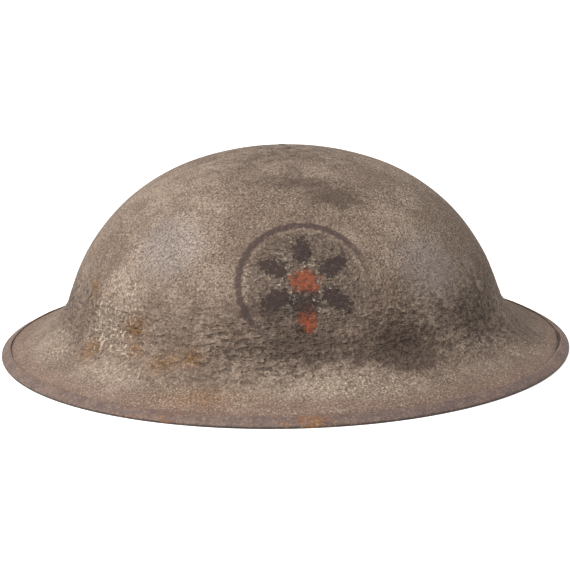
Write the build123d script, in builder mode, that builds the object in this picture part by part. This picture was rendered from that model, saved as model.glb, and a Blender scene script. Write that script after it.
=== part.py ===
"""A shallow steel service helmet with a wide sloping brim, its liner and its chinstrap.

The bowl and brim are one pressing with an oval plan. Every piece that follows the bowl is
turned about the upright axis as if the plan were round, and then stretched lengthwise by the
plan's ratio. A tilt is an angle from vertical in the bowl's section, 0 at the crown. A turn is
an angle round the plan, 0 at the wearer's left. A depth is measured in from the outer skin.

Frame: +Z up, the front faces -Y, the wearer's left is +X, and the origin lies under the crown
on the surface that the rim rests on. Lengths are in millimetres, angles in degrees.
"""

import os
from math import asin, cos, degrees, radians, sin, sqrt, tan

from build123d import *

os.makedirs("parts", exist_ok=True)

# Shell
rim_width = 292.0
rim_length = 308.0
shell_gauge = 1.0
brim_slope_deg = 32.0
brim_length = 32.64
root_radius = 15.0
wall_tilt_deg = 69.6
wall_length = 11.33
shoulder_radius = 96.0
crown_tilt_deg = 20.0

# Rim binding
binding_gauge = 0.55
binding_width = 5.3
binding_clearance = 0.05
binding_joint_gap = 0.6
rest_flat_depth = 0.25

# Clearances
seat_clearance = 0.3
rivet_clearance = 0.1
cut_overrun = 2.0

# Crown rivet, washer and rubber ring
crown_head_radius = 4.2
crown_head_height = 1.5
crown_shank_radius = 2.4
crown_tail_radius = 4.2
crown_tail_height = 1.3
washer_radius = 12.0
washer_gauge = 1.0
crown_ring_radius = 15.0

# Liner
buffer_count = 12
buffer_diameter = 9.0
buffer_bore = 4.0
buffer_length = 28.0
buffer_tilt_deg = 52.0
felt_gauge = 1.8
oilcloth_gauge = 1.2
band_top_tilt_deg = 37.0
band_bottom_tilt_deg = 66.5
hem_height = 6.0
crown_strap_width = 36.0
crown_strap_lap = 6.0
pad_radius = 44.0
pad_thickness = 5.5
pad_edge_radius = 2.0
tack_head_radius = 2.6
tack_head_height = 0.7
tack_shank_radius = 1.0
tack_tail_radius = 1.6
tack_tail_height = 0.5

# Head net and its lace
twine_diameter = 1.6
net_tilt_deg = 39.0
net_hem = 2.4
net_mouth_radius = 19.2
net_meshes = 36
net_rows = 8
mesh_share = 0.62
lace_diameter = 2.2
knot_length = 9.0
knot_diameter = 5.0

# Bails, the clips that hang them and the clip rivets
clip_turn_deg = 25.8
clip_tilt_deg = 67.7
clip_gauge = 0.8
clip_width = 12.0
clip_rise = 4.6
clip_drop = 11.0
clip_stand_off = 0.6
bail_wire_diameter = 2.5
bail_running_clearance = 0.15
bail_width = 24.0
bail_drop = 18.0
bail_corner_radius = 3.0
bail_end_gap = 0.6
clip_head_radius = 3.2
clip_head_height = 1.4
clip_shank_radius = 2.0
clip_tail_radius = 3.0
clip_tail_height = 1.1

# Chinstrap and its two keepers
strap_width = 15.0
strap_gauge = 1.8
strap_slope_deg = 4.3
strap_bend_x = 22.0
strap_tail_length = 72.0
loop_slack = 0.25
loop_taper = 9.0
keeper_length = 10.0
keeper_gauge = 1.2
keeper_corner_radius = 1.0
keeper_rest = 58.0

# Worked out from the sizes above
plan_ratio = rim_length / rim_width
flat_origin = Vector(0, 0)
up = Vector(0, 0, 1)


def section_point(centre, distance, tilt_deg):
    """The point of the bowl's section at a distance from a centre and a tilt from vertical."""
    tilt = radians(tilt_deg)
    return Vector(centre.X + distance * sin(tilt), centre.Y + distance * cos(tilt))


# The bowl's section runs in from the rim: brim, root, wall and shoulder, each tangent to the
# last, up to a crown arc centred on the upright axis
brim_upward = section_point(flat_origin, 1, brim_slope_deg)
brim_outward = section_point(flat_origin, 1, brim_slope_deg + 90)
wall_outward = section_point(flat_origin, 1, wall_tilt_deg)
wall_upward = section_point(flat_origin, 1, wall_tilt_deg - 90)
nose_radius = shell_gauge / 2 + binding_clearance + binding_gauge
nose_centre = Vector(rim_width / 2 - nose_radius, nose_radius - rest_flat_depth)
brim_edge = nose_centre + brim_upward * (shell_gauge / 2)
root_centre = brim_edge - brim_outward * brim_length + brim_upward * root_radius
wall_top = root_centre - wall_outward * root_radius + wall_upward * wall_length
shoulder_centre = wall_top - wall_outward * shoulder_radius
crown_radius = shoulder_radius + shoulder_centre.X / sin(radians(crown_tilt_deg))
crown_centre = section_point(shoulder_centre, shoulder_radius - crown_radius, crown_tilt_deg)
shell_height = crown_centre.Y + crown_radius


def bowl_line(depth, end_tilt_deg):
    """Draws the bowl's section at a depth, from the crown down to a tilt on the shoulder."""
    crown = CenterArc(crown_centre, crown_radius - depth, 90, -crown_tilt_deg)
    sweep = crown_tilt_deg - end_tilt_deg
    shoulder = CenterArc(shoulder_centre, shoulder_radius - depth, 90 - crown_tilt_deg, sweep)
    return crown @ 0, shoulder @ 1


def shell_line(depth):
    """Draws the shell's section at a depth, from the crown out to the brim's edge."""
    crown_top, wall_start = bowl_line(depth, wall_tilt_deg)
    Line(wall_start, root_centre - wall_outward * (root_radius + depth))
    root_sweep = wall_tilt_deg - brim_slope_deg
    root = CenterArc(root_centre, root_radius + depth, 270 - wall_tilt_deg, root_sweep)
    brim = Line(root @ 1, brim_edge - brim_upward * depth)
    return crown_top, brim @ 1


def sector_line(outer_depth, inner_depth, top_tilt_deg, bottom_tilt_deg):
    """Draws round a strip of the bowl's shoulder between two depths and two tilts."""
    start, sweep = 90 - top_tilt_deg, top_tilt_deg - bottom_tilt_deg
    outer = CenterArc(shoulder_centre, shoulder_radius - outer_depth, start, sweep)
    inner = CenterArc(shoulder_centre, shoulder_radius - inner_depth, start, sweep)
    Line(outer @ 0, inner @ 0)
    Line(outer @ 1, inner @ 1)


def seat(depth, tilt_deg, turn_deg):
    """A plane on the bowl's shoulder: z outwards, x level along the wall, y up the bowl."""
    tilt, turn = radians(tilt_deg), radians(turn_deg)
    point = section_point(shoulder_centre, shoulder_radius - depth, tilt_deg)
    origin = Vector(point.X * cos(turn), plan_ratio * point.X * sin(turn), point.Y)
    outward = Vector(sin(tilt) * cos(turn), sin(tilt) * sin(turn) / plan_ratio, cos(tilt))
    along = Vector(-sin(turn), plan_ratio * cos(turn), 0)
    return Plane(origin=origin, x_dir=along, z_dir=outward)


def rivet(plane, head_radius, head_height, shank_radius, grip, tail_radius, tail_height):
    """A rivet whose head sits on a plane and whose shank runs down its grip to a spread tail."""
    cap_radius = (head_radius**2 + head_height**2) / (2 * head_height)
    cap_angle = degrees(asin(head_radius / cap_radius))
    side = Plane(origin=plane.origin, x_dir=plane.x_dir, z_dir=-plane.y_dir)
    with BuildPart() as made:
        with BuildSketch(side):
            with BuildLine():
                cap = CenterArc((0, head_height - cap_radius), cap_radius, 90, -cap_angle)
                Polyline(
                    cap @ 1,
                    (shank_radius, 0),
                    (shank_radius, -grip),
                    (tail_radius, -grip),
                    (tail_radius, -grip - tail_height),
                    (0, -grip - tail_height),
                    cap @ 0,
                )
            make_face()
        revolve(axis=Axis(plane.origin, plane.z_dir))
    return made.part


def keep(built, label):
    """Labels a finished piece and writes it to its own file."""
    built.part.label = label
    export_step(built.part, f"parts/{label}.step")


# The liner's layers, in from the shell: rubber buffers, felt, oilcloth
buffer_radius = buffer_diameter / 2
buffer_reach = shoulder_radius - shell_gauge - seat_clearance
buffer_axis_radius = sqrt(buffer_reach**2 - (buffer_length / 2) ** 2) - buffer_radius
buffer_depth = shoulder_radius - buffer_axis_radius
felt_depth = buffer_depth + buffer_radius + seat_clearance
sweat_depth = felt_depth + felt_gauge + seat_clearance
liner_depth = sweat_depth + oilcloth_gauge
outer_cloth_depth = felt_depth - seat_clearance - oilcloth_gauge
over_cloth_depth = outer_cloth_depth - seat_clearance - oilcloth_gauge
pad_depth = felt_depth
pad_bottom_depth = pad_depth + pad_thickness
crown_ring_tube = (over_cloth_depth - shell_gauge - 2 * seat_clearance) / 2


def arc_deg(length):
    """The tilt that a length takes up along the liner's inner face."""
    return degrees(length / (shoulder_radius - liner_depth))


felt_top_tilt_deg = band_top_tilt_deg + arc_deg(seat_clearance)
hem_inner_tilt_deg = band_bottom_tilt_deg + arc_deg(seat_clearance)
hem_outer_tilt_deg = hem_inner_tilt_deg + arc_deg(oilcloth_gauge)
hem_top_tilt_deg = band_bottom_tilt_deg - arc_deg(hem_height)
strap_end_tilt_deg = felt_top_tilt_deg + arc_deg(crown_strap_lap)
buffer_turns = [(step + 1 / 2) * 360 / buffer_count for step in range(buffer_count)]
sides = {"left": -clip_turn_deg, "right": 180 + clip_turn_deg}
clip_seats = {side: seat(shell_gauge, clip_tilt_deg, turn) for side, turn in sides.items()}

# Shell: the bowl and brim in one pressing, pierced for three rivets
with BuildPart() as shell:
    with BuildSketch(Plane.XZ):
        with BuildLine():
            outer_top, outer_edge = shell_line(0)
            inner_top, inner_edge = shell_line(shell_gauge)
            Line(outer_top, inner_top)
            Line(outer_edge, inner_edge)
        make_face()
    revolve(axis=Axis.Z)
    scale(by=(1, plan_ratio, 1))
    with BuildSketch(Plane.XY.offset(shell_height + cut_overrun)):
        Circle(crown_shank_radius + rivet_clearance)
    extrude(amount=-(shell_gauge + 2 * cut_overrun), mode=Mode.SUBTRACT)
    with BuildSketch(*clip_seats.values()):
        Circle(clip_shank_radius + rivet_clearance)
    extrude(amount=shell_gauge + cut_overrun, both=True, mode=Mode.SUBTRACT)
keep(shell, "shell")

# Rim binding: a folded strip over the raw edge, its ends meeting at the rear
brim_plane = Plane(
    origin=(nose_centre.X, 0, nose_centre.Y),
    x_dir=(brim_outward.X, 0, brim_outward.Y),
    z_dir=(0, -1, 0),
)
with BuildPart() as rim_binding:
    with BuildSketch(brim_plane):
        Circle(nose_radius)
        leg = binding_width - nose_radius
        Rectangle(leg, 2 * nose_radius, align=(Align.MAX, Align.CENTER))
        with Locations((binding_clearance, 0)):
            Rectangle(
                binding_width,
                shell_gauge + 2 * binding_clearance,
                align=(Align.MAX, Align.CENTER),
                mode=Mode.SUBTRACT,
            )
    revolve(axis=Axis.Z)
    scale(by=(1, plan_ratio, 1))
    split(bisect_by=Plane.XY, keep=Keep.TOP)
    with BuildSketch(Plane.XY):
        with Locations((0, rim_length / 2)):
            Rectangle(binding_joint_gap, 2 * (binding_width + cut_overrun))
    extrude(amount=binding_width + cut_overrun, both=True, mode=Mode.SUBTRACT)
keep(rim_binding, "rim_binding")

# Crown stack: rubber ring, two oilcloth straps that cross, felt pad, washer and rivet
with BuildPart() as crown_ring:
    ring_reach = crown_radius - shell_gauge - seat_clearance - crown_ring_tube
    ring_height = crown_centre.Y + sqrt(ring_reach**2 - crown_ring_radius**2)
    with BuildSketch(Plane.XZ):
        with Locations((crown_ring_radius, ring_height)):
            Circle(crown_ring_tube)
    revolve(axis=Axis.Z)
keep(crown_ring, "crown_ring")

crown_straps = {
    "lengthwise": (outer_cloth_depth, (crown_strap_width, rim_length)),
    "crosswise": (over_cloth_depth, (rim_width, crown_strap_width)),
}
for run, (strap_depth, plan_size) in crown_straps.items():
    with BuildPart() as crown_strap:
        with BuildSketch(Plane.XZ):
            with BuildLine():
                outer_top, outer_end = bowl_line(strap_depth, strap_end_tilt_deg)
                inner_top, inner_end = bowl_line(
                    strap_depth + oilcloth_gauge, strap_end_tilt_deg
                )
                Line(outer_top, inner_top)
                Line(outer_end, inner_end)
            make_face()
        revolve(axis=Axis.Z)
        scale(by=(1, plan_ratio, 1))
        with BuildSketch(Plane.XY):
            Rectangle(*plan_size)
            Circle(crown_shank_radius + rivet_clearance, mode=Mode.SUBTRACT)
        extrude(amount=shell_height, mode=Mode.INTERSECT)
    keep(crown_strap, f"crown_strap_{run}")

with BuildPart() as crown_pad:
    with BuildSketch(Plane.XZ) as pad_section:
        with BuildLine():
            outer_top, outer_end = bowl_line(pad_depth, strap_end_tilt_deg)
            inner_top, inner_end = bowl_line(pad_bottom_depth, strap_end_tilt_deg)
            Line(outer_top, inner_top)
            Line(outer_end, inner_end)
        make_face()
        Rectangle(2 * pad_radius, 2 * shell_height, mode=Mode.INTERSECT)
        fillet(pad_section.vertices().group_by(Axis.X)[-1], pad_edge_radius)
    revolve(axis=Axis.Z)
    scale(by=(1, plan_ratio, 1))
    with BuildSketch(Plane.XY):
        Circle(crown_shank_radius + rivet_clearance)
    extrude(amount=shell_height, mode=Mode.SUBTRACT)
keep(crown_pad, "crown_pad")

pad_reach = crown_radius - pad_bottom_depth
washer_reach = washer_radius / min(plan_ratio, 1)
washer_top = crown_centre.Y + sqrt(pad_reach**2 - washer_reach**2) - rivet_clearance
with BuildPart() as crown_washer:
    with BuildSketch(Plane.XY.offset(washer_top)):
        Circle(washer_radius)
        Circle(crown_shank_radius + rivet_clearance, mode=Mode.SUBTRACT)
    extrude(amount=-washer_gauge)
    chamfer(crown_washer.edges().group_by(Axis.Z)[0].sort_by(SortBy.LENGTH)[-1], washer_gauge / 3)
keep(crown_washer, "crown_washer")

crown_rivet_top = shell_height + binding_clearance
crown_rivet_solid = rivet(
    Plane.XY.offset(crown_rivet_top),
    crown_head_radius,
    crown_head_height,
    crown_shank_radius,
    crown_rivet_top - washer_top + washer_gauge + binding_clearance,
    crown_tail_radius,
    crown_tail_height,
)
with BuildPart() as crown_rivet:
    add(crown_rivet_solid)
keep(crown_rivet, "crown_rivet")

# Liner: rubber buffers tacked to a felt band that an oilcloth sweatband faces and hems
buffer_planes = []
tack_planes = []
for turn in buffer_turns:
    spot = seat(buffer_depth, buffer_tilt_deg, turn)
    buffer_planes.append(Plane(origin=spot.origin, x_dir=spot.x_dir, z_dir=spot.y_dir))
    face = seat(liner_depth + seat_clearance, buffer_tilt_deg, turn).origin
    tack_planes.append(Plane(origin=face, x_dir=spot.x_dir, z_dir=face - spot.origin))
tack_reach = liner_depth + seat_clearance - buffer_depth
tail_reach = sqrt((buffer_bore / 2) ** 2 - tack_tail_radius**2) - rivet_clearance

with BuildPart() as rubber_buffers:
    with BuildSketch(*buffer_planes):
        Circle(buffer_radius)
        Circle(buffer_bore / 2, mode=Mode.SUBTRACT)
    extrude(amount=buffer_length / 2, both=True)
    with BuildSketch(*tack_planes):
        Circle(tack_shank_radius + rivet_clearance)
    extrude(amount=-tack_reach, mode=Mode.SUBTRACT)
keep(rubber_buffers, "rubber_buffers")

with BuildPart() as felt_band:
    with BuildSketch(Plane.XZ):
        with BuildLine():
            felt_inner_depth = felt_depth + felt_gauge
            sector_line(felt_depth, felt_inner_depth, felt_top_tilt_deg, band_bottom_tilt_deg)
        make_face()
    revolve(axis=Axis.Z)
    scale(by=(1, plan_ratio, 1))
    with BuildSketch(*tack_planes):
        Circle(tack_shank_radius + rivet_clearance)
    extrude(amount=-tack_reach, mode=Mode.SUBTRACT)
keep(felt_band, "felt_band")

with BuildPart() as sweatband:
    with BuildSketch(Plane.XZ):
        pocket_top_tilt_deg = hem_top_tilt_deg - arc_deg(cut_overrun)
        with BuildLine():
            sector_line(outer_cloth_depth, liner_depth, hem_top_tilt_deg, hem_outer_tilt_deg)
        make_face()
        with BuildLine():
            pocket_depth = felt_depth - seat_clearance
            sector_line(pocket_depth, sweat_depth, pocket_top_tilt_deg, hem_inner_tilt_deg)
        make_face(mode=Mode.SUBTRACT)
        with BuildLine():
            sector_line(sweat_depth, liner_depth, band_top_tilt_deg, hem_outer_tilt_deg)
        make_face()
    revolve(axis=Axis.Z)
    scale(by=(1, plan_ratio, 1))
    with BuildSketch(*tack_planes):
        Circle(tack_shank_radius + rivet_clearance)
    extrude(amount=-tack_reach, mode=Mode.SUBTRACT)
keep(sweatband, "sweatband")

tacks = [
    rivet(
        plane,
        tack_head_radius,
        tack_head_height,
        tack_shank_radius,
        (plane.origin - spot.origin).length - tail_reach,
        tack_tail_radius,
        tack_tail_height,
    )
    for plane, spot in zip(tack_planes, buffer_planes)
]
with BuildPart() as buffer_tacks:
    add(tacks)
keep(buffer_tacks, "buffer_tacks")

# Head net: a flat net of diamond meshes, laced in at its mouth
liner_reach = shoulder_radius - liner_depth
net_rim = section_point(shoulder_centre, liner_reach, net_tilt_deg)
net_radius = net_rim.X - seat_clearance
net_top = net_rim.Y


def mesh_window(row, step):
    """One diamond gap of the net, in the row and at the step round the plan."""
    pitch = (net_radius - net_mouth_radius - 2 * net_hem) / net_rows
    middle = net_mouth_radius + net_hem + row * pitch
    half_height = pitch * mesh_share * 3 / 2
    half_width = degrees(mesh_share * radians(180) / net_meshes)
    turn = (step + row % 2 / 2) * 360 / net_meshes
    corners = (
        (middle - half_height, turn),
        (middle, turn - half_width),
        (middle + half_height, turn),
        (middle, turn + half_width),
    )
    return Wire.make_polygon(
        [Vector(r * cos(radians(a)), plan_ratio * r * sin(radians(a))) for r, a in corners]
    )


with BuildPart() as head_net:
    windows = [
        mesh_window(row, step) for row in range(1, net_rows) for step in range(net_meshes)
    ]
    outline = Wire([Edge.make_ellipse(net_radius, plan_ratio * net_radius, Plane.XY)])
    mouth = Wire([Edge.make_circle(net_mouth_radius)])
    with BuildSketch(Plane.XY.offset(net_top)):
        add(Face(outline, [mouth, *windows]))
    extrude(amount=-twine_diameter)
keep(head_net, "head_net")

lace_radius = net_mouth_radius - seat_clearance - lace_diameter / 2
lace_height = net_top - twine_diameter / 2
knot_radius = net_mouth_radius - seat_clearance - knot_diameter / 2
knot_plane = Plane(origin=(0, -knot_radius, lace_height), x_dir=(1, 0, 0), z_dir=(0, -1, 0))
cap_place = (knot_length - knot_diameter) / 2
with BuildPart() as net_lace:
    with BuildSketch(Plane.XZ):
        with Locations((lace_radius, lace_height)):
            Circle(lace_diameter / 2)
    revolve(axis=Axis.Z)
    with BuildSketch(knot_plane):
        with BuildLine():
            half_knot = CenterArc((cap_place, 0), knot_diameter / 2, 90, -90)
            other_half = CenterArc((-cap_place, 0), knot_diameter / 2, 90, 90)
            Line(half_knot @ 0, other_half @ 0)
            Line(half_knot @ 1, other_half @ 1)
        make_face()
    revolve(axis=Axis(knot_plane.origin, knot_plane.x_dir))
keep(net_lace, "net_lace")

# Chinstrap hangers: on each side a clip, its rivet and the wire bail that swings in it
clip_eye_radius = bail_wire_diameter / 2 + bail_running_clearance + clip_gauge
bail_hinges = {}
for side, base in clip_seats.items():
    clip_section = Plane(origin=base.origin, x_dir=-base.z_dir, z_dir=base.x_dir)
    with BuildPart() as bail_clip:
        with BuildSketch(clip_section):
            with Locations((clip_stand_off, clip_rise)):
                Rectangle(
                    2 * clip_gauge, clip_rise + clip_drop, align=(Align.MIN, Align.MAX)
                )
            with Locations((clip_stand_off + clip_eye_radius, -clip_drop)):
                Circle(clip_eye_radius)
                Circle(clip_eye_radius - clip_gauge, mode=Mode.SUBTRACT)
        extrude(amount=clip_width / 2, both=True)
        with BuildSketch(base):
            Circle(clip_shank_radius + rivet_clearance)
        extrude(amount=-(clip_stand_off + 2 * clip_gauge + cut_overrun), mode=Mode.SUBTRACT)
    keep(bail_clip, f"{side}_bail_clip")

    clip_rivet_solid = rivet(
        base.offset(shell_gauge + binding_clearance),
        clip_head_radius,
        clip_head_height,
        clip_shank_radius,
        shell_gauge + clip_stand_off + 2 * clip_gauge + 2 * binding_clearance,
        clip_tail_radius,
        clip_tail_height,
    )
    with BuildPart() as clip_rivet:
        add(clip_rivet_solid)
    keep(clip_rivet, f"{side}_clip_rivet")

    hinge = base.origin - base.z_dir * (clip_stand_off + clip_eye_radius) - base.y_dir * clip_drop
    bail_hinges[side] = hinge
    bail_plane = Plane(origin=hinge, x_dir=base.x_dir, z_dir=base.x_dir.cross(up))
    with BuildPart() as bail:
        with BuildLine(bail_plane) as bail_path:
            FilletPolyline(
                (bail_end_gap / 2, 0),
                (bail_width / 2, 0),
                (bail_width / 2, -bail_drop),
                (-bail_width / 2, -bail_drop),
                (-bail_width / 2, 0),
                (-bail_end_gap / 2, 0),
                radius=bail_corner_radius,
            )
        with BuildSketch(Plane(origin=bail_path.line @ 0, z_dir=bail_path.line % 0)):
            Circle(bail_wire_diameter / 2)
        sweep()
    keep(bail, f"{side}_bail")
    print(side, "bail hinge", hinge, "axis", base.x_dir)

# Chinstrap: both ends are turned through the bails and doubled back under the keepers
bar = bail_hinges["left"] - up * bail_drop
slope = radians(strap_slope_deg)
run_direction = Vector(-cos(slope), 0, -sin(slope))
run_plane = Plane(origin=bar, x_dir=run_direction, z_dir=(0, 1, 0))
run_length = (bar.X - strap_bend_x) / cos(slope)
bar_skew = clip_seats["left"].x_dir.X / clip_seats["left"].x_dir.Y
loop_half_height = bail_wire_diameter / 2 + loop_slack
loop_half_length = loop_half_height / cos(slope) + strap_width / 2 * bar_skew + loop_slack
arc_radius = strap_bend_x / sin(slope)
middle_height = bar.Z - run_length * sin(slope) - strap_bend_x * tan(slope / 2)

with BuildPart() as chinstrap:
    with BuildSketch(run_plane):
        outer_half_height = loop_half_height + strap_gauge
        outer_half_length = loop_half_length + strap_gauge
        SlotOverall(2 * outer_half_length, 2 * outer_half_height)
        with BuildLine():
            Polyline(
                (0, outer_half_height),
                (loop_half_length, outer_half_height),
                (loop_half_length + loop_taper, strap_gauge),
                (strap_tail_length, strap_gauge),
                (strap_tail_length, 0),
                (run_length, 0),
                (run_length, -strap_gauge),
                (loop_half_length + loop_taper, -strap_gauge),
                (loop_half_length, -outer_half_height),
                (0, -outer_half_height),
                close=True,
            )
        make_face()
        SlotOverall(2 * loop_half_length, 2 * loop_half_height, mode=Mode.SUBTRACT)
    extrude(amount=strap_width / 2, both=True)
    mirror(about=Plane.YZ)
    with BuildSketch(Plane.XZ.offset(-bar.Y)):
        with BuildLine():
            arc_centre = (0, middle_height + arc_radius)
            arc_start = 270 - strap_slope_deg
            upper = CenterArc(arc_centre, arc_radius, arc_start, 2 * strap_slope_deg)
            lower = CenterArc(arc_centre, arc_radius + strap_gauge, arc_start, 2 * strap_slope_deg)
            Line(upper @ 0, lower @ 0)
            Line(upper @ 1, lower @ 1)
        make_face()
    extrude(amount=strap_width / 2, both=True)
keep(chinstrap, "chinstrap")

keeper_inner_width = strap_width + 2 * seat_clearance
keeper_inner_height = 2 * strap_gauge + 2 * seat_clearance
for side, mirrored in (("left", 1), ("right", -1)):
    direction = Vector(mirrored * run_direction.X, 0, run_direction.Z)
    bar_point = Vector(mirrored * bar.X, bar.Y, bar.Z)
    keeper_plane = Plane(
        origin=bar_point + direction * keeper_rest, x_dir=(0, 1, 0), z_dir=direction
    )
    with BuildPart() as keeper:
        with BuildSketch(keeper_plane):
            RectangleRounded(
                keeper_inner_width + 2 * keeper_gauge,
                keeper_inner_height + 2 * keeper_gauge,
                keeper_corner_radius,
            )
            Rectangle(keeper_inner_width, keeper_inner_height, mode=Mode.SUBTRACT)
        extrude(amount=keeper_length / 2, both=True)
    keep(keeper, f"{side}_strap_keeper")
    print(side, "keeper at", keeper_plane.origin, "slides along", direction)
print("strap middle height", middle_height)
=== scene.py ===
# %% [markdown]
# # A shallow steel helmet
# This lesson dresses a steel service helmet of the First World War: a bowl and a sloping brim
# pressed from one sheet, a folded strip round the raw edge, a riveted liner and a chinstrap.
# The mechanical model gives every piece its place, so the lesson starts by loading it and keeps
# its box. Lengths are in metres, written as so many mm.

from functools import reduce
from math import cos, pi, radians, sin

import bmesh
import bpy
import numpy as np
from mathutils import Matrix, Vector


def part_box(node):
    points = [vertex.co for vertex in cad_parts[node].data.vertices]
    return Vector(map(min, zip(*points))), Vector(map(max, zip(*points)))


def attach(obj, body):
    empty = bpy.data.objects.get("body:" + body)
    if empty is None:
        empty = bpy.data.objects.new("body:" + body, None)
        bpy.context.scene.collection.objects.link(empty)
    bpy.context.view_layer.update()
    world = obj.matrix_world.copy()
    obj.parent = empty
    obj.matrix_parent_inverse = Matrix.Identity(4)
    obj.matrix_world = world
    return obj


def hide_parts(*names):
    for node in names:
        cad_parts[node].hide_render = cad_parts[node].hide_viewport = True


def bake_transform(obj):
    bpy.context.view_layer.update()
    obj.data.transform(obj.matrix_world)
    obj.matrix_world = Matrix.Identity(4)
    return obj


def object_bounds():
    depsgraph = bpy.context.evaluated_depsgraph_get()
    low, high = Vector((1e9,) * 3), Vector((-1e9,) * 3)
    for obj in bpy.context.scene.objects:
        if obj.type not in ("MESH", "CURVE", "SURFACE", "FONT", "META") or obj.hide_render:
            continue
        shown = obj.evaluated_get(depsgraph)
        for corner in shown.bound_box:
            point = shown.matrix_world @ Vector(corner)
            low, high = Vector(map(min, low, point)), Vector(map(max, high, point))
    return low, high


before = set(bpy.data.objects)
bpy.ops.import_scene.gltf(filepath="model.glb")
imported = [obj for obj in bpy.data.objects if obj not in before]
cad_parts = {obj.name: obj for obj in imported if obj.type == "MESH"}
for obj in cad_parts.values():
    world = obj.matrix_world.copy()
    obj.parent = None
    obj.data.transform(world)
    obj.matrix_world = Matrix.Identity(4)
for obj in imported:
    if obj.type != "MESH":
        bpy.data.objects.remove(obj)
cad_low, cad_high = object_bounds()
mm = 0.001
scene = bpy.context.scene
print("box of the model", [round(v, 4) for v in (*cad_low, *cad_high)])

# %% [markdown]
# ## Skins
# Almost every piece here is a skin over a grid of points. The grid has rows and columns, and each
# may close on itself: a wall's section closes on itself, and so does a turn round the helmet.
# Building the faces as whole arrays keeps this quick at a hundred thousand faces, and the same
# sum makes hundreds of copies of a small piece, such as a stitch, when their grids are stacked.

# %% The skin builder
same_point = 0.0001 * mm


def skin(name, grid, close_rows=True, close_columns=True, capped=False):
    """A mesh over grid[row, column] = (x, y, z), or over grids stacked as grid[copy, row, column].
    A face joins each point to the next in its row and in its column, and a closed direction joins
    the last to the first. Capped leaves the columns open and closes each end of their run with one
    face. Points that coincide, as at a pole, are merged, and every face is pointed outwards."""
    rows, columns = grid.shape[-3:-1]
    index = np.arange(grid.size // 3).reshape(-1, rows, columns)
    here = index if close_rows else index[:, :-1]
    down = np.roll(index, -1, 1) if close_rows else index[:, 1:]
    if close_columns and not capped:
        here_next, down_next = np.roll(here, -1, 2), np.roll(down, -1, 2)
    else:
        here, here_next = here[..., :-1], here[..., 1:]
        down, down_next = down[..., :-1], down[..., 1:]
    quads = np.stack([here, here_next, down_next, down], -1).reshape(-1, 4)
    caps = np.concatenate([index[:, ::-1, 0], index[:, :, -1]]).tolist() if capped else []
    mesh = bpy.data.meshes.new(name)
    mesh.from_pydata(grid.reshape(-1, 3), [], quads.tolist() + caps)
    smooth = np.ones(len(mesh.polygons), bool)
    smooth[len(quads):] = False
    mesh.polygons.foreach_set("use_smooth", smooth)
    return tidied(linked(name, mesh))


def linked(name, data):
    """A new object of the scene for a mesh, a lamp's light or a camera."""
    thing = bpy.data.objects.new(name, data)
    scene.collection.objects.link(thing)
    return thing


def tidied(piece):
    """Merges points that coincide and points every face outwards."""
    work = bmesh.new()
    work.from_mesh(piece.data)
    bmesh.ops.remove_doubles(work, verts=work.verts, dist=same_point)
    bmesh.ops.recalc_face_normals(work, faces=work.faces)
    work.to_mesh(piece.data)
    work.free()
    return piece


def store(piece, name, values):
    """Keeps one number per point, for a finish to read."""
    layer = piece.data.attributes.new(name, "FLOAT", "POINT")
    layer.data.foreach_set("value", np.asarray(values, np.float32).ravel())


def dress(piece, body, slot, *nodes):
    """Says which body carries a piece and which nodes it stands for. The slot is not used."""
    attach(piece, body)
    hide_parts(*nodes)


# %% [markdown]
# ## Lumps and places
# Hand-worked metal is never quite true. A lattice of random numbers, blended smoothly between its
# points, gives soft lumps of a chosen size. The seed is fixed, so every run gives the same metal.

# %% Smooth random lumps
lattice_cells = 64


def eased(t):
    """3t^2 - 2t^3: a smooth way from 0 to 1."""
    return t * t * (3 - 2 * t)


def lumps(points, size, seed):
    """Value noise from -1 to 1: each point takes the eight lattice numbers round it, weighted by
    its eased share of the way along each axis. The lattice repeats after all its cells."""
    lattice = np.random.default_rng(seed).uniform(-1, 1, (lattice_cells,) * 3)
    place = points / size
    cell = np.floor(place).astype(int)
    t = eased(place - cell)
    total = np.zeros(points.shape[:-1])
    for corner in np.ndindex(2, 2, 2):
        weight = np.prod(np.where(corner, t, 1 - t), -1)
        i, j, k = np.moveaxis((cell + corner) % lattice_cells, -1, 0)
        total += weight * lattice[i, j, k]
    return total


def rise(value, low, high):
    """0 below low, 1 above high, and a smooth step between them."""
    return eased(np.clip((value - low) / (high - low), 0, 1))


def unit(steps):
    """Steps made one long each."""
    return steps / np.linalg.norm(steps, axis=-1, keepdims=True)


def turns(count):
    """Even turns round a full circle."""
    return np.linspace(0, 2 * pi, count, endpoint=False)


def glow(points, centre, spread):
    """1 at the centre, falling off as a bell over the spread along x, y and z, all in mm."""
    away = (points - np.array(centre) * mm) / (np.array(spread) * mm)
    return np.exp(-0.5 * np.sum(away**2, -1))


# %% [markdown]
# ## The bowl's section
# One section carries the whole helmet. From the rim it runs in as the straight brim, a small arc
# into the wall, a straight wall, a wide shoulder arc and a flatter crown arc. Turned round the
# upright axis it would be round, so the plan is stretched lengthwise into the real oval.

# %% The section
half_width = (cad_high.x - cad_low.x) / 2
plan_ratio = (cad_high.y - cad_low.y) / (cad_high.x - cad_low.x)
brim_slope, brim_length = radians(32), 32.64 * mm
root_radius, shoulder_radius = 15 * mm, 96 * mm
wall_tilt_deg, wall_length = 69.6, 11.33 * mm
crown_tilt_deg = 20
wall_tilt, crown_tilt = radians(wall_tilt_deg), radians(crown_tilt_deg)
rest_flat = 0.25 * mm
shell_gauge, binding_gauge, binding_clearance = 1 * mm, 0.55 * mm, 0.05 * mm
nose_radius = shell_gauge / 2 + binding_gauge + binding_clearance


def heading(tilt):
    """The unit step at a tilt from upright, as (r, z)."""
    return np.stack([np.sin(tilt), np.cos(tilt)], -1)


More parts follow.
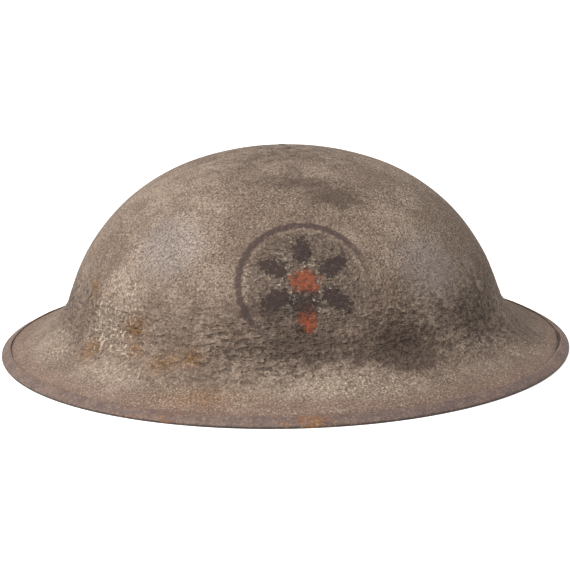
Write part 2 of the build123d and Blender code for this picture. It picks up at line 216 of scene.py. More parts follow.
brim_out, brim_up = heading(brim_slope + pi / 2), heading(brim_slope)
nose_centre = np.array([half_width - nose_radius, nose_radius - rest_flat])
brim_edge = nose_centre + brim_up * shell_gauge / 2
root_centre = brim_edge - brim_out * brim_length + brim_up * root_radius
wall_top = root_centre - root_radius * heading(wall_tilt) + wall_length * heading(wall_tilt - pi / 2)
shoulder_centre = wall_top - shoulder_radius * heading(wall_tilt)
crown_radius = shoulder_radius + shoulder_centre[0] / sin(crown_tilt)
crown_centre = shoulder_centre - (crown_radius - shoulder_radius) * heading(crown_tilt)


def bowl_section(depth, count, start=0.0):
    """Points (r, z) at even steps along the section, at a depth in from the outer skin, from the
    radius start out to the brim's edge. Each arc is centre + radius * heading(tilt)."""
    line = np.concatenate([
        crown_centre + (crown_radius - depth) * heading(np.linspace(0, crown_tilt, 60)),
        shoulder_arc(depth, crown_tilt_deg, wall_tilt_deg, 120),
        root_centre - (root_radius + depth) * heading(np.linspace(wall_tilt, brim_slope, 40)),
        [brim_edge - brim_up * depth],
    ])
    line = line[line[:, 0] >= start]
    way = np.concatenate([[0], np.cumsum(np.linalg.norm(np.diff(line, axis=0), axis=1))])
    even = np.linspace(0, way[-1], count)
    return np.stack([np.interp(even, way, line[:, 0]), np.interp(even, way, line[:, 1])], -1)


def shoulder_arc(depth, start_deg, end_deg, count):
    """Points (r, z) of the shoulder's arc at a depth, from one tilt in degrees to another."""
    tilt = np.radians(np.linspace(start_deg, end_deg, count))
    return shoulder_centre + (shoulder_radius - depth) * heading(tilt)


def round_plan(radius, angle, z):
    """Points on the oval plan: x = radius cos(angle), y = plan ratio * radius sin(angle)."""
    return np.stack([radius * np.cos(angle), plan_ratio * radius * np.sin(angle), z + 0 * angle], -1)


def turned(section, turn):
    """grid[row, column] for a section (r, z) carried round the oval plan. The section may differ
    from one column to the next."""
    if section.ndim == 2:
        section = np.repeat(section[:, None], len(turn), 1)
    return round_plan(section[..., 0], turn, section[..., 1])


def seat(depth, tilt_deg, turn_deg):
    """A place on the shoulder, as four rows: its point, and the unit steps level along the wall,
    up the bowl and straight out of it."""
    tilt, turn = radians(tilt_deg), radians(turn_deg)
    r, z = shoulder_centre + (shoulder_radius - depth) * heading(tilt)
    along = np.array([-sin(turn), plan_ratio * cos(turn), 0])
    out = np.array([sin(tilt) * cos(turn), sin(tilt) * sin(turn) / plan_ratio, cos(tilt)])
    along, out = unit(along), unit(out)
    return np.array([round_plan(r, turn, z), along, np.cross(out, along), out])


crown_top = crown_centre[1] + crown_radius
print("crown at", round(crown_top / mm, 2), "mm, solid at", round(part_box("shell")[1].z / mm, 2))
clip_tilt_deg, clip_turn_deg = 67.7, 25.8
clip_seats = {
    "left": seat(shell_gauge, clip_tilt_deg, -clip_turn_deg),
    "right": seat(shell_gauge, clip_tilt_deg, 180 + clip_turn_deg),
}

# %% [markdown]
# ## The shell
# The skin runs down the outside from the crown's rivet hole, turns at the brim's edge and comes
# back up the inside, so it is one closed wall of the sheet's own gauge. The outside has more rows
# than the inside because it shows. The brim's sides are pressed flatter than its front and back.
# Soft dents move both faces alike, and the coarse sand of the paint, which lies thick low on the
# bowl, is lumpy enough to be real shape.

# %% The shell's skin
sag_depth, sag_radius, sag_spread = 3.6 * mm, 127 * mm, 11 * mm
edge_lift, hole_radius = 0.4 * mm, 2.5 * mm


def swept(points):
    """Points with the brim's sides pressed down by a bell of the plan radius, and its edge there a
    little up, both in the share cos^2 of the turn from the side."""
    radius = np.hypot(points[..., 0], points[..., 1] / plan_ratio)
    side = (points[..., 0] / np.maximum(radius, mm)) ** 2
    sag = sag_depth * np.exp(-(((radius - sag_radius) / sag_spread) ** 2))
    sag = sag * rise(radius, 98 * mm, 108 * mm)
    lift = edge_lift * rise(radius, 118 * mm, 150 * mm)
    return points + (side * (lift - sag))[..., None] * [0, 0, 1]


turn = turns(440)
outer = turned(bowl_section(0, 168, hole_radius), turn)
inner = turned(bowl_section(shell_gauge, 44, hole_radius), turn)[::-1]
wall = swept(np.concatenate([outer, inner]))
rivet_spots = [clip_seats["left"][0] / mm, clip_seats["right"][0] / mm, (0, 0, crown_top / mm)]


def outwards(points):
    """The unit step from a point low in the bowl's middle."""
    return unit(points - [0, 0, 10 * mm])


def field(points, marks):
    """The strongest of several bells: each mark is a centre in mm, a spread in mm and a strength."""
    return np.max([glow(points, centre, spread) * strength for centre, spread, strength in marks], 0)


grit_height = 0.24 * mm
near_rivet = field(wall, [(spot, (7, 7, 7), 1) for spot in rivet_spots])
dents = 0.22 * mm * lumps(wall, 38 * mm, 3) + 0.08 * mm * lumps(wall, 14 * mm, 4)
wall = wall + outwards(wall) * (dents * rise(wall[..., 2], 3 * mm, 20 * mm) * (1 - near_rivet))[..., None]
height, front = wall[..., 2], rise(-wall[..., 1], -60 * mm, 60 * mm)
coarse = rise(-height, -64 * mm, -32 * mm) * rise(height, 8 * mm, 19 * mm)
coarse = coarse * (0.55 + 0.45 * front) * (0.8 + 0.4 * lumps(wall, 26 * mm, 7))
coarse = np.clip(np.maximum(coarse, 0.95 * glow(wall, (9.4, -102.5, 56), (18, 30, 18))), 0, 1)
grit = lumps(wall * [1, 1, 1.9], 3.2 * mm, 11) + 0.6 * lumps(wall * [1, 1, 1.6], 2.1 * mm, 12)
outside = np.zeros(wall.shape[:2])
outside[: len(outer) - 3] = 1
wall = wall + outwards(wall) * (grit_height * grit * coarse * outside * (1 - near_rivet))[..., None]
shell = skin("shell_wall", wall)
print("shell points", len(shell.data.vertices), "faces", len(shell.data.polygons))

# %% [markdown]
# ## Where the paint is worn, and where sheen and shade are painted
# The finish is uneven in ways that belong to places: rubbed patches, smoother and painted paler
# and greyer as a painted sheen; brown stains, with painted shade mixed in low on the front by the
# brim's root and down the right side; rust flecks low at the left, pale sand caught on the left,
# and worn brown paint along the brim's edge. Each is a field of numbers kept on the skin's points,
# made of bells at measured places, and the finish breaks their edges up with finer noise.

# %% The worn places
# Rubbed patches: smoother paint, also painted paler and greyer as a painted sheen.
rubbed_and_sheen = field(wall, [
    ((-54, -74, 67), (17, 20, 15), 1.0), ((70, -74, 56), (18, 20, 18), 0.9),
    ((-20, 95, 66), (26, 20, 18), 0.9), ((88, 40, 60), (16, 26, 16), 0.7),
    ((-85, 30, 62), (14, 22, 14), 0.6), ((5, 10, 102), (34, 22, 10), 0.5),
])
# Brown stains, with painted shade mixed in: low on the front where the brim's root shades the wall, and
# down the right side, away from the key lamp.
stains_and_shade = field(wall, [
    ((53, -102, 28), (20, 14, 7), 1.0), ((74, -101, 20), (18, 12, 6), 0.7),
    ((34, -111, 24), (20, 12, 6), 0.9), ((8, -116, 28), (20, 12, 8), 1.15),
    ((56, -106, 21), (15, 10, 6), 1.7), ((-8, -112, 42), (20, 9, 9), 0.8),
    ((-26, -113, 27), (16, 12, 6), 0.4), ((-16, -121, 21), (18, 10, 5), 0.45),
    ((26, -61, 87), (13, 8, 6), 1.2), ((12, -66, 86), (16, 6, 5), 0.45),
    ((8, -52, 92), (22, 8, 5), 0.9), ((0, -10, 102), (44, 36, 8), 0.62),
    ((95, -60, 30), (14, 26, 18), 0.75), ((126, -34, 12), (16, 38, 8), 0.5),
    ((40, 104, 26), (24, 14, 7), 0.8), ((-70, 78, 24), (20, 18, 7), 0.6),
    ((-18, 40, 96), (16, 8, 5), 0.5),
])
rusty = field(wall, [
    ((-71, -88, 31), (5, 5, 4), 0.95), ((-94, -76, 19), (6, 6, 4), 0.9),
    ((-72, -95, 22), (5, 5, 3), 0.7), ((-58, -109, 19), (7, 5, 3), 0.85),
    ((-44, -112, 22), (5, 5, 3), 0.85), ((-93, -52, 43), (4, 5, 4), 0.7),
    ((-40, -133, 9), (22, 8, 3), 0.55), ((20, 116, 20), (9, 6, 3), 0.8),
    ((60, 100, 24), (6, 6, 3), 0.8), ((-96, 56, 26), (6, 6, 4), 0.8),
    ((104, 30, 28), (5, 7, 4), 0.7),
])
sandy = field(wall, [
    ((-80, -72, 40), (12, 14, 13), 1.3), ((-86, -79, 23), (16, 16, 6), 1.2),
    ((-118, -50, 14), (14, 22, 6), 1.1), ((-82, -103, 13), (30, 18, 5), 0.7),
    ((34, -130, 13), (40, 16, 5), 0.9), ((8, -103, 55), (22, 30, 20), 0.6),
    ((62, -40, 82), (5, 6, 5), 2.2), ((-60, -20, 86), (26, 24, 12), 0.5),
    ((-40, 118, 18), (30, 14, 6), 0.8), ((92, 70, 18), (18, 20, 6), 0.7),
])
plan_radius = np.hypot(wall[..., 0], wall[..., 1] / plan_ratio)
edge_worn = rise(plan_radius, half_width - 24 * mm, half_width - 5 * mm)
# The slit: a dark line painted on the shell just inside the binding's edge, strongest where the leg has
# sprung open: painted shade in the gap under the leg.
seam_middle, seam_reach, slit_inset, slit_width = -21 * mm, 17 * mm, 5.6 * mm, 0.9 * mm
open_seam = np.exp(-(((wall[..., 1] - seam_middle) / seam_reach) ** 4)) * (wall[..., 0] > 0)
slit_shade = np.exp(-(((plan_radius - half_width + slit_inset) / slit_width) ** 2))
slit_shade = np.minimum(slit_shade * (0.2 + 1.1 * open_seam) * outside, 1)
for name, values in {
    "coarse": coarse, "rubbed_and_sheen": rubbed_and_sheen, "stains_and_shade": stains_and_shade, "rusty": rusty, "sandy": sandy,
    "edge_worn": edge_worn, "outside": outside, "slit_shade": slit_shade,
}.items():
    store(shell, name, values)

# %% [markdown]
# ## Shapes that come up again
# Three more shapes make all the small pieces. A turned piece is a profile carried round a place's
# own outward axis, a tube is a ring carried along a path, and a strip is a line given a thickness.
# A rivet and a tack are the same turned piece in two sizes.

# %% Turned pieces, tubes and strips
def lathe(profile, place, count=32):
    """Points of a profile (r, h) carried round a place's outward axis: point + r (cos a * along +
    sin a * upward) + h * outward."""
    point, along, upward, out = place
    a = turns(count)[:, None]
    ring = np.cos(a) * along + np.sin(a) * upward
    return point + profile[:, :1, None] * ring + profile[:, 1:, None] * out


def tube(path, radius, sides=8, closed=False, across=(0, 0, 1)):
    """Points of tubes along path[..., step, xyz]: at each step a ring of sides, square to the way
    ahead, on the directions ahead x across and that x ahead. The radius may change on the way."""
    ahead = np.roll(path, -1, -2) - np.roll(path, 1, -2) if closed else np.gradient(path, axis=-2)
    ahead = unit(ahead)
    side = unit(np.cross(ahead, across))
    top = np.cross(side, ahead)
    a = turns(sides)[:, None, None]
    ring = np.cos(a) * side[..., None, :, :] + np.sin(a) * top[..., None, :, :]
    reach = np.broadcast_to(radius, path.shape[:-1])[..., None, :, None]
    return path[..., None, :, :] + reach * ring


def open_tubes(name, paths, radius, sides=6, **lie):
    """A skin over tubes along open paths, with both ends closed."""
    return skin(name, tube(paths, radius, sides, **lie), capped=True)


def strip_section(line, gauge):
    """A closed section round a line of points (r, z): the line moved half the gauge to each side."""
    ahead = unit(np.gradient(line, axis=0))
    side = np.stack([ahead[:, 1], -ahead[:, 0]], -1) * gauge / 2
    return np.concatenate([line + side, (line - side)[::-1]])


def rivet_profile(sizes):
    """(r, h) of a set rivet from the top of its domed head down its shank to its spread tail, from
    its head's radius and height, shank's radius, grip, and tail's radius and height in mm."""
    head, dome, shank, grip, tail, tail_height = (size * mm for size in sizes)
    a = np.linspace(0, pi / 2, 9)
    return np.concatenate([
        np.stack([head * np.sin(a), dome * np.cos(a) ** 1.3], -1),
        [(head * 0.97, -0.3 * mm), (shank, -0.3 * mm), (shank, -grip), (tail * 0.94, -grip)],
        [(tail, -grip - tail_height * 0.3), (tail * 0.8, -grip - tail_height)],
        [(0, -grip - tail_height)],
    ])


def point_array(piece):
    """A piece's points as rows of x, y, z."""
    points = np.empty(len(piece.data.vertices) * 3, np.float32)
    piece.data.vertices.foreach_get("co", points)
    return points.reshape(-1, 3).astype(float)


def each_row(values, columns):
    """One number per row of a grid, the same in every column."""
    return np.repeat(values[:, None], columns, 1)


def bumped(points, depth, size, seed):
    """Points pushed out of true by lumps of a size, a different lump each way."""
    push = np.stack([lumps(points, size, seed + step) for step in range(3)], -1)
    return points + depth * push


# %% [markdown]
# ## The rim binding
# A mild-steel strip is folded over the raw edge and meets itself at the back, so its section is a
# long U with a round nose, flat underneath where the helmet stands on it. The fold isn't perfect:
# its upper leg wavers in width, and has sprung open at the wearer's left, where the photograph
# shows a dark slit.

# %% The folded strip
half_joint, strip_columns = 0.3 * mm, 560
joint_turn = np.arcsin(half_joint / half_width)
round_rim = np.linspace(pi / 2 + joint_turn, 5 * pi / 2 - joint_turn, strip_columns)
rim_line = turned(nose_centre[None], round_rim)[0]
nose_turn = np.linspace(pi / 2, -pi / 2, 11)
legs = np.array([-5.2, -4.0, -2.6, -1.2]) * mm
clear_half = shell_gauge / 2 + binding_clearance
inner_leg = np.append(legs, binding_clearance)
strip_out = np.concatenate([
    legs, nose_radius * np.cos(nose_turn), legs[::-1], inner_leg, inner_leg[::-1]
])
strip_up = np.concatenate([
    np.full(4, nose_radius), nose_radius * np.sin(nose_turn), np.full(4, -nose_radius),
    np.full(5, -clear_half), np.full(5, clear_half),
])
leg_share = np.clip(strip_out / legs[0], 0, 1)
upper = strip_up > 0


def opening_at(middle, spread, lift, side):
    """How far the upper leg has sprung up: flat-topped over a spread of y, on one side of x."""
    away = (rim_line[:, 1] - middle) / spread
    return lift * np.exp(-(away**4)) * (side * rim_line[:, 0] > 0)


sprung = opening_at(seam_middle, 18 * mm, 1.1 * mm, 1) + opening_at(-20 * mm, 18 * mm, 0.35 * mm, -1)
sprung += 0.1 * mm * (1 + lumps(rim_line, 12 * mm, 21))
waver = 0.3 * mm * lumps(rim_line, 17 * mm, 22) + 0.12 * mm * lumps(rim_line, 5 * mm, 23)
out_all = strip_out[:, None] + waver * (leg_share == 1)[:, None]
up_all = strip_up[:, None] + sprung * (leg_share**1.5 * upper)[:, None]
section = nose_centre + out_all[..., None] * brim_out + up_all[..., None] * brim_up
section[..., 1] = np.maximum(section[..., 1], 0)
strip_grid = swept(turned(section, round_rim))
strip_grid[..., 2] = np.maximum(strip_grid[..., 2], 0)
binding = skin("rim_strip", strip_grid, capped=True)
dress(binding, "helmet", "binding_steel", "rim_binding")
store(binding, "leg_end", each_row(leg_share * upper, strip_columns))
# Dark along the rolled edge's underside, weaker on the lower leg: painted shade under the rim.
under = rise(-strip_up, -0.95 * mm, -0.55 * mm) * np.where(strip_out < -mm, 0.6, 1)
store(binding, "under", each_row(under, strip_columns))
store(binding, "rusty", field(strip_grid, [
    ((12, -151, 3), (9, 9, 5), 1.0), ((-60, -138, 3), (22, 9, 5), 0.6),
    ((70, 132, 3), (16, 12, 5), 0.7), ((-130, 60, 3), (9, 22, 5), 0.8),
]))
print("binding sprung open by", round(sprung.max() / mm, 2), "mm at most")

# %% [markdown]
# ## Rivets
# Three rivets show outside: one at the crown, which holds the whole liner stack, and one low on
# each side, which holds a chinstrap clip. Each is turned as one piece, head to tail, and hammered
# slightly out of round.

# %% The three rivets
def raised(place, distance):
    """A place moved straight out of the surface."""
    return np.array([place[0] + distance * place[3], *place[1:]])


upright = np.array([(0, 0, 0), (1, 0, 0), (0, 1, 0), (0, 0, 1)])
crown_seat = raised(upright, crown_top)
clip_rivet_sizes = (3.2, 1.4, 2.0, 3.3, 3.0, 1.1)
rivet_jobs = {
    "crown_rivet": ((4.4, 1.9, 2.4, 18.9, 4.2, 1.3), crown_seat),
    "left_clip_rivet": (clip_rivet_sizes, raised(clip_seats["left"], shell_gauge)),
    "right_clip_rivet": (clip_rivet_sizes, raised(clip_seats["right"], shell_gauge)),
}
rivets = []
for node, (sizes, place) in rivet_jobs.items():
    grid = bumped(lathe(rivet_profile(sizes), place), 0.16 * mm, 1.9 * mm, 31)
    rivets.append(skin(node + "_set", grid, close_rows=False))
    from_middle = np.linalg.norm(point_array(rivets[-1]) - place[0], axis=1) / (sizes[0] * mm)
    store(rivets[-1], "from_middle", from_middle)
    dress(rivets[-1], "helmet", "rivet_steel", node)

# %% [markdown]
# ## The liner's band
# Inside the bowl an oilcloth sweatband goes round the head. It is folded up over the foot of a
# felt band and stitched through, so its section is a long hook. Oilcloth lies nearly true, with a
# faint ripple, and the thread shows as rows of short raised stitches.

# %% Sweatband, felt and stitches
oilcloth_gauge, felt_gauge, fold_radius = 1.2 * mm, 1.7 * mm, 1.8 * mm
oilcloth_depth = 14.34 * mm
felt_depth = oilcloth_depth - fold_radius
fold_turn = np.linspace(0, pi, 9)[:, None]
fold_tilt = radians(65.9)
fold_middle = shoulder_centre + (shoulder_radius - felt_depth) * heading(fold_tilt)
fold = fold_middle + fold_radius * (
    -np.cos(fold_turn) * heading(fold_tilt) + np.sin(fold_turn) * heading(fold_tilt + pi / 2)
)
hook = np.concatenate([
    shoulder_arc(oilcloth_depth, 37.4, 65.5, 22), fold,
    shoulder_arc(felt_depth - fold_radius, 65.3, 62.4, 4),
])
band_turn = turns(240)
band_grid = bumped(turned(strip_section(hook, oilcloth_gauge), band_turn), 0.14 * mm, 16 * mm, 41)
sweatband = skin("oilcloth_band", band_grid)
dress(sweatband, "helmet", "oilcloth", "sweatband")
felt_line = shoulder_arc(felt_depth, 37.6, 65.6, 20)
felt_backing = skin("felt_backing", turned(strip_section(felt_line, felt_gauge), band_turn))
dress(felt_backing, "helmet", "felt", "felt_band")

stitch_depth, stitch_rise = oilcloth_depth + 0.71 * mm, 0.35 * mm
stitch_length, thread_radius = 2.3 * mm, 0.34 * mm


def stitch_row(name, tilt_deg, count):
    """A row of short raised stitches round the liner's inner face: each is a tube that rises from
    the cloth and dips back, out by a share of 1 - 2t^2 as t goes from -1 to 1."""
    t = np.linspace(-1, 1, 6)
    r, z = shoulder_arc(stitch_depth, tilt_deg, tilt_deg, 1)[0]
    angle = turns(count)[:, None] + t * stitch_length / 2 / r
    path = round_plan(r - stitch_rise * (1 - 2 * t**2), angle, z)
    stitches = open_tubes(name, path, thread_radius * np.array([0.5, 1, 1, 1, 1, 0.5]))
    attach(stitches, "helmet")
    return stitches


stitching = [stitch_row("hem_stitches", 62.9, 170), stitch_row("top_stitches", 39.4, 130)]

# %% [markdown]
# ## Rubber buffers and tacks
# Twelve short rubber tubes stand the band off the shell. Each is a thick round wall with softened
# ends, squeezed a little by the tack that goes through its middle.

# %% Buffers and tacks
buffer_count, buffer_depth, buffer_tilt_deg = 12, 6.84 * mm, 52
buffer_radius, bore_radius, softening, half_length = 4.5, 2.0, 0.4, 14.0
tack_seat_depth = oilcloth_depth + oilcloth_gauge / 2 + 0.3 * mm
tack_sizes = (2.6, 0.8, 1.0, 7.3, 1.6, 0.5)


def buffer_side(radius, rounding):
    """One side of a buffer's wall in mm, top to bottom: straight, pinched at the tack, and rounded
    at both ends."""
    h = np.linspace(0.5 - half_length, half_length - 0.5, 11)[::-1]
    r = radius - 0.35 * np.exp(-((h / 3) ** 2))
    ends = np.array([(radius + rounding, half_length), (radius + rounding / 4, half_length - 0.15)])
    return np.concatenate([ends, np.stack([r, h], -1), ends[::-1] * [1, -1]])


outer_side, bore_side = buffer_side(buffer_radius, -softening), buffer_side(bore_radius, softening)
buffer_wall = np.concatenate([outer_side, bore_side[::-1]]) * mm
buffer_grids, tack_grids = [], []
for turn_deg in (np.arange(buffer_count) + 0.5) * 360 / buffer_count:
    spot = seat(buffer_depth, buffer_tilt_deg, turn_deg)
    face = seat(tack_seat_depth, buffer_tilt_deg, turn_deg)
    inwards = unit(face[0] - spot[0])
    buffer_grids.append(lathe(buffer_wall, spot[[0, 1, 3, 2]], 24))
    tack_place = [face[0], face[1], np.cross(inwards, face[1]), inwards]
    tack_grids.append(lathe(rivet_profile(tack_sizes), tack_place, 20))
buffers = skin("buffer_tubes", np.array(buffer_grids))
dress(buffers, "helmet", "rubber", "rubber_buffers")
tacks = skin("tack_heads", np.array(tack_grids), close_rows=False)
dress(tacks, "helmet", "tack_brass", "buffer_tacks")

# %% [markdown]
# ## The crown stack
# Under the crown rivet lie a rubber ring, two crossed oilcloth straps, a felt pad and a washer.
# The straps follow the bowl at their own depth and are sewn behind the band. The height of any
# layer at a plan radius comes from the same section, read sideways.

# %% Ring and straps
def under_bowl(x, y, depth):
    """Points at a depth under the bowl, above the plan places x, y."""
    section = bowl_section(depth, 400)
    z = np.interp(np.hypot(x, y / plan_ratio), section[:, 0], section[:, 1])
    return np.stack([x, y, z], -1)


ring_radius, ring_half_width, ring_half_height = 15 * mm, 3.6 * mm, 3.45 * mm
ring_foot_gap = 0.07 * mm
ring_turn = turns(20)
ring_profile = np.stack([
    ring_radius + ring_half_width * np.cos(ring_turn), ring_half_height * np.sin(ring_turn)
], -1)
ring_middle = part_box("crown_ring")[0].z + ring_half_height + ring_foot_gap
ring_grid = lathe(ring_profile, raised(crown_seat, ring_middle - crown_top), 72)
crown_ring = skin("rubber_ring", bumped(ring_grid, 0.12 * mm, 5 * mm, 51))
dress(crown_ring, "helmet", "rubber", "crown_ring")

cloth_half, cloth_depths = 18 * mm, {"lengthwise": 10.14 * mm, "crosswise": 8.64 * mm}
cloth_end_radius = shoulder_arc(11 * mm, 41.5, 41.5, 1)[0, 0]
across = np.linspace(-cloth_half, cloth_half, 13)[:, None]
run = np.linspace(-1, 1, 61)
crown_cloths = []
for way, depth in cloth_depths.items():
    faces = []
    for side, gauge in ((across, 0), (across[::-1], oilcloth_gauge)):
        if way == "lengthwise":
            x, y = side + 0 * run, plan_ratio * np.sqrt(cloth_end_radius**2 - side**2) * run
        else:
            x, y = np.sqrt(cloth_end_radius**2 - (side / plan_ratio) ** 2) * run, side + 0 * run
        faces.append(under_bowl(x, y, depth + gauge))
    grid = bumped(np.concatenate(faces), 0.1 * mm, 12 * mm, 61)
    crown_cloths.append(skin("crown_cloth_" + way, grid, capped=True))
    dress(crown_cloths[-1], "helmet", "oilcloth", "crown_strap_" + way)

# %% [markdown]
# ## The crown pad
# The pad that takes a blow on the crown is felt in a sewn cover. It is swelled as cloth under
# pressure, with its upper side held against the straps, and left flat under the washer.

# %% The pad, swelled
pad_radius, pad_top, pad_foot = 43 * mm, 11.9 * mm, 16.6 * mm
spokes = turns(64)
share = np.linspace(0.07, 1, 14)
pinch = share**8 * 0.55 * (pad_foot - pad_top) / 2
pad_rows = [(s, pad_top + p) for s, p in zip(share, pinch)]
pad_rows += [(s, pad_foot - p) for s, p in zip(share[::-1], pinch[::-1])]
pad_plan = round_plan(pad_radius, spokes, 0)
pad = skin("felt_pad", np.array([under_bowl(*(s * pad_plan[:, :2]).T, depth) for s, depth in pad_rows]))


def settle(piece):
    """Makes the result of a piece's modifiers its own mesh."""
    view = piece.evaluated_get(bpy.context.evaluated_depsgraph_get())
    piece.data = bpy.data.meshes.new_from_object(view)
    piece.modifiers.clear()


def swell(piece, voxel, pressure, cap, hold):
    """Remeshes a closed piece, swells it as cloth for 20 frames and caps how far a point may go.
    Hold gives each point's share of staying where it is."""
    remesh = piece.modifiers.new("even", "REMESH")
    remesh.mode, remesh.voxel_size = "VOXEL", voxel
    settle(piece)
    start = point_array(piece)
    group = piece.vertex_groups.new(name="held")
    for number, weight in enumerate(hold(start)):
        group.add([number], float(weight), "REPLACE")
    cloth = piece.modifiers.new("swell", "CLOTH")
    cloth.settings.use_pressure = True
    cloth.settings.uniform_pressure_force = pressure
    cloth.settings.effector_weights.gravity = 0
    cloth.settings.vertex_group_mass = "held"
    for step in range(1, 21):
        scene.frame_set(step)
    settle(piece)
    scene.frame_set(1)
    moved = point_array(piece) - start
    far = np.linalg.norm(moved, axis=1, keepdims=True)
    moved *= np.minimum(1, cap / np.maximum(far, 1e-9)) * (1 - hold(start)[:, None])
    piece.data.vertices.foreach_set("co", (start + moved).ravel())
    piece.data.polygons.foreach_set("use_smooth", np.ones(len(piece.data.polygons), bool))
    print(piece.name, "swelled by", round(float(far.max()) / mm, 2), "mm before its cap")


def pad_hold(points):
    """1 on the pad's upper side and under the washer, 0 elsewhere."""
    plan = np.hypot(points[:, 0], points[:, 1] / plan_ratio)
    above = points[:, 2] - under_bowl(points[:, 0], points[:, 1], (pad_top + pad_foot) / 2)[:, 2]
    return np.maximum(rise(above, -0.5 * mm, 1.2 * mm), 1 - rise(plan, 12 * mm, 20 * mm))


swell(pad, 1.6 * mm, 4.0, 1.6 * mm, pad_hold)
dress(pad, "helmet", "felt", "crown_pad")

# %% [markdown]
# ## The head net
# The wearer's head hangs in a knotted net. Thirty-six meshes go round it in eight rows, each mesh
# a diamond whose corners are knots, and loops at the rim and the mouth hold it to the head rope
# and to the lace. A knot is a small lump, and a leg between two knots is a short tube.

# %% Knots and legs
mesh_count, mesh_rows = 36, 8
net_mouth, net_radius = 19.2 * mm, 68.15 * mm
net_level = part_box("head_net")[1].z - 0.8 * mm
net_hem = 2.4 * mm
row_pitch = (net_radius - net_mouth - 2 * net_hem) / mesh_rows
twine_radius = 0.55 * mm
steps = np.arange(mesh_count)[:, None]


def knot_angle(row):
    """The turns of a row's knots: every other row stands half a step on."""
    return (steps + (row + 1) % 2 / 2) * 2 * pi / mesh_count


def net_sag(row):
    """How far the net hangs at a row."""
    return 1.1 * mm * np.sin(pi * row / mesh_rows)


leg_paths, knot_places = [], []
t = np.linspace(0, 1, 4)
for row in range(mesh_rows + 1):
    radius = net_mouth + net_hem + row * row_pitch
    knot_places.append(round_plan(radius, knot_angle(row), net_level - net_sag(row))[:, 0])
    for side in (-1, 1) if row < mesh_rows else ():
        angle = knot_angle(row) + side * t * pi / mesh_count
        hang = net_level - net_sag(row) * (1 - t) - net_sag(row + 1) * t - mm * t * (1 - t)
        leg_paths.append(round_plan(radius + t * row_pitch, angle, hang))
net_legs = open_tubes("net_legs", np.concatenate(leg_paths), twine_radius)
a = np.linspace(0, pi, 7)
knot_profile = np.stack([1.15 * np.sin(a), 0.85 * np.cos(a)], -1) * mm
one_knot = lathe(knot_profile, upright, 8)
knots = np.concatenate(knot_places)[:, None, None] + one_knot
net_knots = skin("net_knots", bumped(knots, 0.22 * mm, 1.3 * mm, 71), close_rows=False)


def net_loops(name, row, reach, height):
    """Loops from a row's knots out by a reach: each goes over and comes back under, in an arch."""
    t = np.linspace(-1, 1, 13)
    radius = net_mouth + net_hem + row * row_pitch + reach * (1 - t**2)
    angle = knot_angle(row) + 1.3 * mm * np.sin(pi * t) / radius
    path = round_plan(radius, angle, net_level + height * np.sin(pi * t) * (1 - 0.3 * t**2))
    return open_tubes(name, path, twine_radius, across=(0.05, 0.03, 1))


mouth_loops = net_loops("mouth_loops", 0, -5.5 * mm, 1.9 * mm)
rim_loops = net_loops("rim_loops", mesh_rows, 2.0 * mm, 1.3 * mm)
rope_turn = turns(216)
rope_path = round_plan(net_radius - 1.3 * mm, rope_turn, net_level)
head_rope = skin("head_rope", tube(rope_path, 0.75 * mm, 8, closed=True))
net_pieces = [net_legs, net_knots, mouth_loops, rim_loops, head_rope]
for piece in net_pieces:
    dress(piece, "helmet", "twine", "head_net")

# %% [markdown]
# ## The lace
# A round braided lace runs through the mouth's loops and is tied in a small flat knot at the
# front, with two short ends.

# %% Lace and knot
lace_turn = turns(288)
lace_radius, cord_radius, tied_radius = 17.8 * mm, 1.1 * mm, 1.0 * mm
lace_path = np.stack([
    lace_radius * np.cos(lace_turn), lace_radius * np.sin(lace_turn),
    net_level + 0.35 * mm * np.sin(18 * lace_turn),
], -1)
lace_ring = skin("lace_ring", tube(lace_path, cord_radius, 10, closed=True))
knot_turn = turns(96)
knot_path = np.stack([
    2.9 * np.sin(knot_turn) * (1 + 0.25 * np.cos(2 * knot_turn)),
    -16.5 + 0.9 * np.sin(2 * knot_turn),
    net_level / mm - 0.2 + 1.2 * np.cos(3 * knot_turn),
], -1) * mm
lace_knot = skin("lace_knot", tube(knot_path, tied_radius, 10, closed=True, across=(0.1, 1, 0.2)))
t = np.linspace(0, 1, 12)
tail_paths = np.array([np.stack([
    side * (1.2 + 5.2 * t), -16.4 + 1.2 * np.sin(2.2 * t), net_level / mm - 0.8 - 3.2 * t**1.5
], -1) for side in (-1, 1)]) * mm
lace_ends = open_tubes("lace_ends", tail_paths, tied_radius, 10)
lace_pieces = [lace_ring, lace_knot, lace_ends]
for piece in lace_pieces:
    dress(piece, "helmet", "lace", "net_lace")

# %% [markdown]
# ## The chinstrap
# Each end of the leather strap goes through a wire bail, turns back on itself and lies on the
# strap under a sliding keeper. The strap is made in two halves that meet under the chin, one at
# each bail, since each end of the real strap swings with its own bail; neither half is attached
# to its bail here. A half is one line, from the loose end round the bail and back along the
# underside, given a gauge and a width. The bail's bar runs askew to the strap, so the loop leans
# with it.

# %% The strap's line
strap_gauge, strap_half, strap_slope, bend_x = 1.8 * mm, 7.5 * mm, radians(4.3), 22 * mm
wire_radius, wire_clearance = 1.25 * mm, 0.25 * mm
bail_low, bail_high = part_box("left_bail")
bar = np.array([*(bail_low.xy + bail_high.xy) / 2, bail_low.z + wire_radius])
lean = clip_seats["left"][1][0] / clip_seats["left"][1][1]
way_in = np.array([-cos(strap_slope), 0, -sin(strap_slope)])
way_up = np.array([-sin(strap_slope), 0, cos(strap_slope)])
run_length = (bar[0] - bend_x) / cos(strap_slope)
loop_radius = wire_radius + wire_clearance + strap_gauge / 2
loop_taper, tail_length = 16 * mm, 72 * mm

